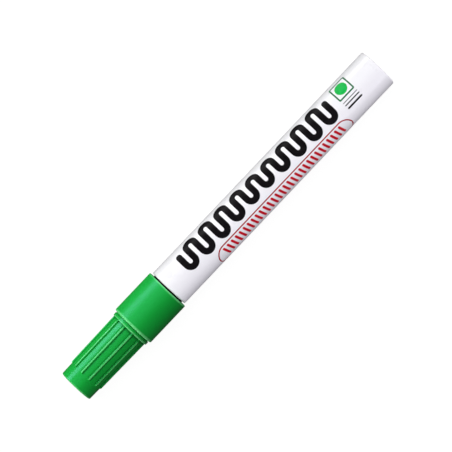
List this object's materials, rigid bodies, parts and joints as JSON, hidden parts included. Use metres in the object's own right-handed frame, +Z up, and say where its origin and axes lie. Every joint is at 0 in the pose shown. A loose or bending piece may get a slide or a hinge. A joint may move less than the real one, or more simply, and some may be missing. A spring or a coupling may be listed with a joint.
{
  "type": "whiteboard marker",
  "caption": "Capped bullet-tip marker: a round metal barrel with a fibre ink reservoir, a nib in a moulded holder, and a ribbed pull-off cap with a sealing liner.",
  "frame": {"origin": "under the middle of the marker's length, on the surface it lies on", "axes": "+X along the marker from the barrel's closed rear end to the cap's closed end, the way the nib points; +Z up, through the middle of the print"},
  "size_m": [0.137, 0.015, 0.0151],
  "materials": {
    "enamel_barrel": "gloss",
    "cap_green": "satin",
    "liner_natural": "satin",
    "holder_black": "satin",
    "nib_fibre": "matte",
    "core_fibre": "matte",
    "film": "gloss",
    "breather_plastic": "satin"
  },
  "bodies": {
    "barrel_body": {"barrel": "enamel_barrel", "nib_holder": "holder_black", "nib": "nib_fibre", "reservoir_core": "core_fibre", "reservoir_sleeve": "film", "breather_tube": "breather_plastic"},
    "liner_body": {"inner_cap": "liner_natural"},
    "cap_body": {"cap_shell": "cap_green"}
  },
  "joints": [
    {"name": "cap_pull", "type": "slide", "parent": "barrel_body", "child": "liner_body", "axis": [1, 0, 0], "range_m": [0, 0.05]},
    {"name": "cap_turn", "type": "hinge", "parent": "liner_body", "child": "cap_body", "pos_m": [0.0685, 0, 0.00755], "axis": [1, 0, 0], "continuous": true}
  ]
}
